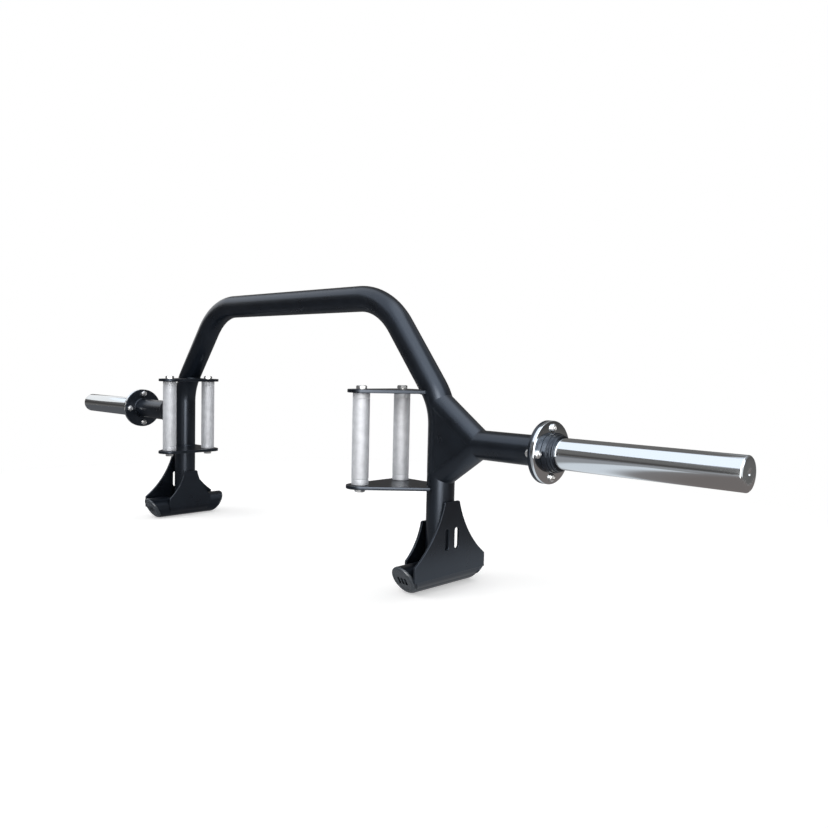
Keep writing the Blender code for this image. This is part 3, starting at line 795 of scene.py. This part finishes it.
def add_cards():
    """Grey screens and ground, the ceiling and the side window that the bar reflects."""
    room = 2.4
    posts = []
    for degrees in range(18, 284, 4):
        x, y = room * cos(radians(degrees)), room * sin(radians(degrees))
        posts.append(((x, y, 0.003), (x, y, screen_height(degrees))))
    walls = [(a[0], b[0], b[1], a[1]) for a, b in zip(posts, posts[1:])]
    add_card("grey_screens", walls, wall_shader)
    add_card("grey_ground", [round_ring(room, 0.002, 64)], ground_shader)
    add_card("ceiling_window", [round_ring(9.0, 4.35, 64)], ceiling_shader)
    half, tall = 0.55, 0.6
    corners = [(-half, 0, -tall), (half, 0, -tall), (half, 0, tall), (-half, 0, tall)]
    window = add_card("side_window", [corners], window_shader)
    window.location = (1.10, -0.78, 0.604)
    window.rotation_euler = (0, 0, radians(40))


class TRAPBAR_OT_arch(bpy.types.Operator):
    """Add the bent tube of both legs and the bridge between them"""

    bl_idname = "trapbar.arch"
    bl_label = "Arch tube"

    def execute(self, context):
        path = arch_path()
        rings = tube_rings(path, TUBE_RADIUS) + tube_rings(path, TUBE_BORE)[::-1]
        for end in (0, len(path) - 1, len(path), -1):
            rings[end] = saddle_end(rings[end])
        add_fine("arch_tube", skinned(rings, loop=True))
        return {"FINISHED"}


def brace_start(side, sign):
    """Where a brace's centre line meets the leg, its far end, and its direction."""
    sizes = bar_sizes()
    start = Vector((side * LEG_X, 0, sign * sizes.brace_rise))
    node = Vector((side * (LEG_X + sizes.brace_reach), 0, 0))
    return start, node, (node - start).normalized()


def brace_line(side, sign):
    """Two points on a brace's centre line, far out on both sides of its start."""
    start, _, along = brace_start(side, sign)
    return [start - along, start + along]


def mitre_angle():
    """Half the angle between a brace and the stub tube."""
    sizes = bar_sizes()
    return (pi - atan2(sizes.brace_rise, sizes.brace_reach)) / 2


def brace_lines(side, sign, radius):
    """Start and end of each line along a brace's skin or bore."""
    start, node, along = brace_start(side, sign)
    normal = Vector((-along.z, 0, along.x))
    mitre = Vector((-side * sin(mitre_angle()), 0, sign * cos(mitre_angle())))
    leg = leg_path(side)
    lines = []
    for a, b in circle(radius):
        base = start + normal * a + Vector((0, b, 0))

        def in_leg(reach, base=base):
            gap, _ = nearest(base + along * reach, leg)
            return gap < radius or reach < 0 and gap < TUBE_RADIUS

        first = edge_of(in_leg, -abs(a), bar_sizes().brace_reach)
        ends = (-base.z / along.z, (node - base).dot(mitre) / along.dot(mitre))
        last = max(min(end for end in ends if end > 0), first)
        lines.append((base + along * first, base + along * last))
    return lines


def stub_lines(side, radius):
    """Start at the braces and end at the flange of each line along a stub tube."""
    node_x = LEG_X + bar_sizes().brace_reach
    return [(Vector((side * (node_x + abs(b) / tan(mitre_angle())), a, b)),
             Vector((side * DISC_LOW.x, a, b))) for a, b in circle(radius)]


def add_pipe(node, outer, inner):
    """Tube from lines of (start, end) points on its outside and its bore."""
    rings = [[line[end] for line in lines]
             for lines, end in ((outer, 0), (outer, 1), (inner, 1), (inner, 0))]
    add_fine(node, skinned(rings, loop=True))


def sunk(point, centres):
    """Move a joint's point into the tubes along the mean of their outward directions."""
    total = Vector()
    for centre in centres:
        total += (point - centre).normalized()
    return point - total / len(centres) * bar_sizes().bead_sink


class TRAPBAR_OT_braces(bpy.types.Operator):
    """Add the braces, stub tubes and their welds, and coat the gussets"""

    bl_idname = "trapbar.braces"
    bl_label = "Braces"

    def execute(self, context):
        for word, side in SIDES:
            for level, sign in LEVELS:
                self.add_brace(word, side, level, sign)
            self.add_stub(word, side)
        coat = finish_for("frame_paint")
        for face, _ in FACES:
            for word, _ in SIDES:
                gusset = frame["nodes"][f"gusset_{face}_{word}"]
                gusset.data.materials.clear()
                gusset.data.materials.append(coat)
        return {"FINISHED"}

    def add_brace(self, word, side, level, sign):
        """One brace, and its weld to the leg, all but the part on the gussets' side."""
        clear, below = 0.006, 0.002
        outer = brace_lines(side, sign, TUBE_RADIUS)
        add_pipe(f"{level}_brace_{word}", outer, brace_lines(side, sign, TUBE_BORE))
        leg, line = leg_path(side), brace_line(side, sign)
        rise = bar_sizes().brace_rise
        path = [sunk(point, (nearest(point, leg)[1], nearest(point, line)[1]))
                for point, _ in outer]
        shown = [spot for spot in path
                 if side * spot.x - LEG_X > clear and sign * spot.z - rise > -below]
        shown.sort(key=lambda spot: spot.y)
        bead(f"weld_brace_leg_{level}_{word}", shown, 0.8)

    def add_stub(self, word, side):
        """A stub tube, with its welds to the braces and to the flange."""
        outer = stub_lines(side, TUBE_RADIUS)
        add_pipe(f"stub_tube_{word}", outer, stub_lines(side, TUBE_BORE))
        for level, sign in LEVELS:
            line = brace_line(side, sign)
            path = [sunk(point, (Vector((point.x, 0, 0)), nearest(point, line)[1]))
                    for point, _ in outer if point.z * sign >= -1e-6]
            path.sort(key=lambda spot: atan2(spot.y, sign * spot.z))
            bead(f"weld_brace_stub_{level}_{word}", path, 0.9)
        ring = [Vector((side * (DISC_LOW.x - 0.0005), a, b)) for a, b in circle(TUBE_RADIUS)]
        bead(f"weld_stub_flange_{word}", ring, 0.75, closed=True)


class TRAPBAR_OT_sleeves(bpy.types.Operator):
    """Add the flanges, collars and loading sleeves"""

    bl_idname = "trapbar.sleeves"
    bl_label = "Sleeves"

    def execute(self, context):
        disc = (DISC_HIGH.z - DISC_LOW.z) / 2
        edge, chamfer, hub = 0.0012, 0.002, 0.001
        bore = SLEEVE_RADIUS + SEAT_GAP
        start, face, nose = CHROME_LOW.x, FLANGE_FACE_X, CHROME_HIGH.x
        end = SLEEVE_HIGH.x
        flange = [(0, DISC_LOW.x), *eased([
            (hub, DISC_LOW.x), (disc, DISC_LOW.x), (disc, DISC_HIGH.x), (hub, DISC_HIGH.x),
        ], edge), (0, DISC_HIGH.x)]
        plate = eased([(bore, start), (disc, start), (disc, face), (bore, face)], edge)
        collar = [(bore, face)]
        for reach, wall in COLLAR_STEPS:
            collar += [(SLEEVE_RADIUS + wall, collar[-1][1]), (SLEEVE_RADIUS + wall, face + reach)]
        collar += [(SLEEVE_RADIUS + COLLAR_NOSE_WALL, nose), (bore, nose)]
        # The sleeve's end has a lathe's centre hole, 6 mm wide and 4 mm deep
        sleeve = [(0, start), *eased([
            (hub, start), (SLEEVE_RADIUS, start), (SLEEVE_RADIUS, end - chamfer),
            (SLEEVE_RADIUS - chamfer, end), (0.003, end), (0.0004, end - 0.0038),
        ], 0.0006, 3), (0, end - 0.004)]
        for word, side in SIDES:
            out = facing((side, 0, 0))
            add_fine(f"frame_flange_{word}", turned(flange), place=out)
            add_fine(f"sleeve_flange_{word}", turned(plate), "chrome", out)
            add_piece(f"collar_{word}", turned(eased(collar, edge)), place=out)
            add_fine(f"sleeve_bar_{word}", turned(sleeve), "chrome", out)
        return {"FINISHED"}


def hexagon_ring(flats, along, start=0.0, slope=0.0):
    """Ring of points on a hexagon, cut back by a slope beyond a start radius."""
    ring = []
    for i in range(BOLT_SIDES):
        angle = 2 * pi * i / BOLT_SIDES
        radius = flats / 2 / cos(angle % (pi / 3) - pi / 6)
        ring.append((radius * cos(angle), radius * sin(angle), along - (radius - start) * slope))
    return ring


class TRAPBAR_OT_fasteners(bpy.types.Operator):
    """Add the flange screws and nuts and the grip bolts"""

    bl_idname = "trapbar.fasteners"
    bl_label = "Fasteners"

    def execute(self, context):
        for word, side in SIDES:
            for number in "1234":
                self.add_screw(f"flange_screw_{word}_{number}", side)
                self.add_nut(f"flange_nut_{word}_{number}", side)
                self.add_bolt(f"handle_bolt_{word}_{number}")
        return {"FINISHED"}

    def add_screw(self, node, side):
        """Button-head screw with a hexagon socket."""
        low, high, middle = solid(node)
        head, head_radius, crown_radius, rim = 0.0044, 0.0065, 0.0042, 0.0012
        shank, thread_depth, pitch = 0.004, 0.0006, 0.00125
        tip = high.x - low.x - head
        rings = [round_ring(0.0034, -tip), round_ring(shank, 0.0008 - tip)]
        # Three turns of thread on the end that passes the nut
        for k in range(6):
            cut = thread_depth if k % 2 else 0
            rings.append(round_ring(shank - cut, 0.0009 - tip + k * pitch / 2))
        rings += [round_ring(shank, 0), round_ring(head_radius - 0.0003, 0),
                  round_ring(head_radius, 0.0004)]
        dome = radians(58)
        for a, b in arc((0, 0), 1.0, 0, dome, 6):
            share = (a - cos(dome)) / (1 - cos(dome))
            rings.append(round_ring(crown_radius + (head_radius - crown_radius) * share,
                                    rim + (head - rim) * b / sin(dome)))
        rings += [hexagon_ring(0.0054, head), hexagon_ring(0.005, head - 0.0004),
                  hexagon_ring(0.005, head - 0.0026)]
        spot = (side * (FLANGE_FACE_X + SEAT_GAP), *(middle - ORIGIN).yz)
        add_fine(node, skinned(rings, caps=True), "zinc", facing((side, 0, 0), spot))

    def add_nut(self, node, side):
        """Lock nut with a chamfered hexagon and a rounded insert ring."""
        bore, half, rise, height = 0.0043, 0.0065, 0.0058, 0.008
        slope = tan(radians(30))
        rings = [
            round_ring(bore, 0), round_ring(half * 0.95, 0),
            hexagon_ring(2 * half, 0.0011, half, -slope),
            hexagon_ring(2 * half, rise, half * 0.97, slope),
        ]
        rings += [round_ring(*point) for point in (
            (half * 0.93, rise + 0.0001), (0.0058, rise + 0.0004), (0.0056, height - 0.0008),
            (0.0052, height - 0.0002), (0.0047, height), (bore, height - 0.0003))]
        spot = (side * (DISC_LOW.x - SEAT_GAP), *(solid(node)[2] - ORIGIN).yz)
        add_fine(node, skinned(rings, loop=True), "zinc", facing((-side, 0, 0), spot))

    def add_bolt(self, node):
        """Hex bolt through a handle plate, with a washer face and a chamfered head."""
        low, high, middle = (corner - ORIGIN for corner in solid(node))
        sign = 1 if middle.z > 0 else -1
        half, head, shank = 0.0085, 0.0064, 0.005
        tip = high.z - low.z - head
        edge = half * 0.96
        rings = [round_ring(*point) for point in (
            (0.0044, -tip), (shank, 0.0006 - tip), (shank, 0), (half * 0.97, 0),
            (half * 0.97, 0.0005), (half * 0.95, 0.0007))]
        rings += [hexagon_ring(2 * half, 0.0007),
                  hexagon_ring(2 * half, head - 0.0002, edge, tan(radians(28)))]
        rings += [round_ring(*point) for point in (
            (edge - 0.0002, head), (edge * 0.75, head - 0.0001), (edge * 0.68, head - 0.0005))]
        seat = (high.z if sign > 0 else low.z) - sign * head
        place = facing((0, 0, sign), (middle.x, middle.y, seat))
        add_fine(node, skinned(rings, caps=True), "zinc", place)


def plate_outline(side, rise):
    """Two round lobes under the grips and two lips beside the leg."""
    lobe, lip = REAR_GRIP.x - PLATE_LOW.x, 0.003
    tip = (arch_x(rise), -TUBE_RADIUS - lip)
    # The straight edge to the tip leaves the front lobe on a tangent
    across, along = tip[0] - FRONT_GRIP.x, tip[1] - FRONT_GRIP.y
    leave = atan2(along, across) - acos(lobe / hypot(across, along))
    points = arc(FRONT_GRIP, lobe, -pi, leave, 28)
    points += [tip, (tip[0], REAR_GRIP.y + lobe)]
    points += arc(REAR_GRIP, lobe, pi / 2, pi, 14)
    return [(side * x, y) for x, y in points]


def around_leg(side, rise):
    """Half a loop round the leg on its inner side, at a height."""
    leg = leg_path(side)
    middle = Vector((side * arch_x(rise), 0, rise))
    path = []
    short = 0.8
    for a, b in arc((0, 0), 1.0, pi / 2 + short, 3 * pi / 2 - short, 40):
        out = Vector((side * a, b, 0))
        reach = edge_of(lambda far, out=out: nearest(middle + out * far, leg)[0] < TUBE_RADIUS,
                        0.5 * TUBE_RADIUS, 2 * TUBE_RADIUS)
        path.append(middle + out * reach)
    return path


class TRAPBAR_OT_handles(bpy.types.Operator):
    """Add the handle plates, their welds and the grips"""

    bl_idname = "trapbar.handles"
    bl_label = "Handles"

    def execute(self, context):
        half = (GRIP_HIGH.z - GRIP_LOW.z) / 2
        radius = (GRIP_HIGH.x - GRIP_LOW.x) / 2
        # Threaded bore, chamfered end, and the groove where the knurl begins
        bore, groove, depth = 0.0053, 0.0725, 0.0004
        profile = [
            (bore, -half), (radius - 0.0006, -half), (radius, 0.0007 - half),
            (radius, -groove), (radius - depth, 0.0005 - groove),
            (radius - depth, 0.0013 - groove), (radius, 0.0019 - groove),
        ]
        profile = eased(profile + [(r, -z) for r, z in profile[::-1]], 0.0003, 2)
        thick = (PLATE_HIGH.z - PLATE_LOW.z) / 2
        for word, side in SIDES:
            for grip, spot in (("front", FRONT_GRIP), ("rear", REAR_GRIP)):
                place = facing((0, 0, 1), (side * spot.x, spot.y, 0))
                add_fine(f"handle_{grip}_{word}", turned(profile), "grip_steel", place)
            for level, sign in LEVELS:
                rise = sign * (PLATE_MIDDLE.z - ORIGIN.z)
                label = f"handle_plate_{level}_{word}"
                outline = plate_outline(side, rise)
                plate = cut_plate(outline, (), rise - thick, rise + thick, level_place)
                add_fine(label, plate)
                for face, offset in (("top", thick), ("bottom", -thick)):
                    bead(f"weld_{label}_{face}", around_leg(side, rise + offset), 0.55)
        return {"FINISHED"}


def foot_plate_outline(top, top_half, shoulder, base_half, flare):
    """Half width grows from the top along a hollow edge, then runs down to the tube."""
    corner = 0.004
    start = Vector((top_half, -top - corner))
    end = Vector((base_half, -shoulder))
    chord = end - start
    rise = sqrt(flare ** 2 - (chord.length / 2) ** 2)
    centre = (start + end) / 2 + Vector((-chord.y, chord.x)).normalized() * rise
    first = atan2(start.y - centre.y, start.x - centre.x) % (2 * pi)
    last = atan2(end.y - centre.y, end.x - centre.x) % (2 * pi)
    half = arc((top_half - corner, -top - corner), corner, pi / 2, 0, 8)[:-1]
    half += arc(centre, flare, first, last, 28) + [(base_half, -FOOT_DROP)]
    return half + [(-y, z) for y, z in half[::-1]]


def window_outline(centre):
    """Upright slot with round ends."""
    radius, top, bottom = 0.0055, -0.152, -0.190
    upper = arc((centre, top - radius), radius, 0, pi, 16)
    lower = arc((centre, bottom + radius), radius, pi, 2 * pi, 16)
    return upper + lower


def slanted(x, end, a, b, offset):
    """Point over the foot tube's slanted end."""
    return Vector((x + a, end * (FOOT_HALF + offset + b * tan(FOOT_SLANT)), b - FOOT_DROP))


class TRAPBAR_OT_feet(bpy.types.Operator):
    """Add the foot tubes, their plates, welds and end caps"""

    bl_idname = "trapbar.feet"
    bl_label = "Feet"

    def execute(self, context):
        for word, side in SIDES:
            self.add_tube(word, side)
            self.add_plates(word, side)
            for face, end in FACES:
                self.add_cap(f"foot_cap_{face}_{word}", side * LEG_X, end)
        return {"FINISHED"}

    def add_tube(self, word, side):
        """Cross tube with both ends cut on a slant, a little short of the caps' faces."""
        rings = [[slanted(side * LEG_X, end, a, b, -0.0044) for a, b in circle(radius)]
                 for end, radius in ((-1, TUBE_BORE), (-1, TUBE_RADIUS),
                                     (1, TUBE_RADIUS), (1, TUBE_BORE))]
        add_fine(f"foot_tube_{word}", skinned(rings, loop=True))

    def add_plates(self, word, side):
        """Outer plate with two windows, plain inner plate, and their welds."""
        for label, low, high, outline, holes in (
            ("foot_plate_outer_", OUTER_LOW, OUTER_HIGH,
             foot_plate_outline(top=0.105, top_half=0.020, shoulder=0.209,
                                base_half=FOOT_HALF + 0.0022, flare=0.190),
             (window_outline(-0.013), window_outline(0.013))),
            ("foot_plate_inner_", INNER_LOW, INNER_HIGH,
             foot_plate_outline(top=0.146, top_half=0.019, shoulder=0.212,
                                base_half=0.057, flare=0.115), ()),
        ):
            near, far = sorted((side * low.x, side * high.x))
            plate = cut_plate(outline, holes, near, far, crosswise_place)
            add_fine(label + word, plate)
        self.add_edge_welds(word, side)
        axis_x = side * LEG_X
        path = []
        for x, y, z in saddle_end([(axis_x + a, b, 0) for a, b in circle(TUBE_RADIUS)]):
            upright, cross = Vector((axis_x, 0, z)), Vector((axis_x, y, -FOOT_DROP))
            path.append(sunk(Vector((x, y, z)), (upright, cross)))
        bead(f"weld_leg_foot_{word}", path, 1.0, closed=True)

    def add_edge_welds(self, word, side):
        """Long fillet welds that lead from the plates' lower edges into the foot tube."""
        reach = OUTER_HIGH.x - LEG_X
        slope = acos(TUBE_RADIUS / reach)
        touch = (TUBE_RADIUS * cos(slope), -TUBE_RADIUS * sin(slope))
        middle = ((reach + touch[0]) / 2 + 0.0005, touch[1] / 2 - 0.0005)
        section = eased([
            (reach - 0.0002, 0.0004), middle, touch,
            (touch[0] * 0.93, touch[1] * 0.93), (TUBE_RADIUS - 0.001, 0.0004),
        ], 0.0006, 2, closed=True)
        for place, sign, half in (("outer", 1, 1.0), ("inner", -1, 0.056 / FOOT_HALF)):
            rings = []
            for k in range(-12, 13):
                share = half * k / 12
                end = 1 if share > 0 else -1
                rings.append([
                    (side * (LEG_X + sign * a),
                     abs(share) * slanted(0, end, a, b, -0.0006).y, b - FOOT_DROP)
                    for a, b in section])
            add_piece(f"weld_foot_plate_{place}_{word}", skinned(rings, caps=True))
            if place == "outer":
                for face, end in FACES:
                    path = [slanted(side * LEG_X, end, side * a, b, -0.0035)
                            for a, b in section[:8]]
                    bead(f"weld_foot_corner_{face}_{word}", path, 0.5)

    def add_cap(self, node, x, end):
        """Push-in cap with a rounded rim and a row of slots in its face."""
        rim, face = 0.0065, 0.0022
        dome = [(TUBE_RADIUS - rim + rim * cos(radians(t)), 0.0073 * sin(radians(t)) - 0.0040)
                for t in range(0, 91, 6)]
        profile = [
            (0.0190, -0.0100), (0.0203, -0.0100), (0.0203, -0.0041), (0.0247, -0.0041),
            *dome, (0.0180, 0.0031), (0.0176, 0.0026), (0.0171, 0.0023), (0.0165, face),
        ]
        shape = bmesh.new()
        rows = skin(shape, [[slanted(x, end, a, b, offset) for a, b in circle(r)]
                            for r, offset in profile])
        shape.faces.new(rows[0])
        loops = [(circle(profile[-1][0]), rows[-1])]
        half, low, high = 0.0027, -0.0070, 0.0050
        for centre in (-0.0078, 0, 0.0078):
            slot = eased([
                (centre - half, low), (centre + half, low),
                (centre + half, high), (centre - half, high),
            ], 0.0007, 3, closed=True)
            walls = skin(shape, [[slanted(x, end, a, b, depth) for a, b in slot]
                                 for depth in (face, -0.006)])
            shape.faces.new(walls[-1])
            loops.append((slot, walls[0]))
        fill_flat(shape, loops)
        add_fine(node, shape, "cap_plastic")


class TRAPBAR_PT_panel(bpy.types.Panel):
    """List of the pieces"""

    bl_idname = "TRAPBAR_PT_panel"
    bl_label = "Trap Bar"
    bl_space_type = "VIEW_3D"
    bl_region_type = "UI"
    bl_category = "Trap Bar"

    def draw(self, context):
        column = self.layout.column()
        for piece in PIECES:
            column.operator(piece.bl_idname)


PIECES = (
    TRAPBAR_OT_stage, TRAPBAR_OT_arch, TRAPBAR_OT_braces, TRAPBAR_OT_sleeves,
    TRAPBAR_OT_fasteners, TRAPBAR_OT_handles, TRAPBAR_OT_feet,
)
CLASSES = (TrapBarSizes, TrapBarFinish, *PIECES, TRAPBAR_PT_panel)


def register():
    """Register the classes and the settings."""
    for kind in CLASSES:
        bpy.utils.register_class(kind)
    bpy.types.Scene.trapbar_sizes = bpy.props.PointerProperty(type=TrapBarSizes)
    bpy.types.Scene.trapbar_finish = bpy.props.PointerProperty(type=TrapBarFinish)


def unregister():
    """Remove the settings and the classes."""
    del bpy.types.Scene.trapbar_finish
    del bpy.types.Scene.trapbar_sizes
    for kind in reversed(CLASSES):
        bpy.utils.unregister_class(kind)


def main():
    """Build every piece in order."""
    register()
    for old in list(bpy.data.objects):
        if old.type in {"CAMERA", "LIGHT"}:
            bpy.data.objects.remove(old)
    bpy.ops.trapbar.stage()
    bpy.ops.trapbar.arch()
    bpy.ops.trapbar.braces()
    bpy.ops.trapbar.sleeves()
    bpy.ops.trapbar.fasteners()
    bpy.ops.trapbar.handles()
    bpy.ops.trapbar.feet()


if __name__ == "__main__":
    main()
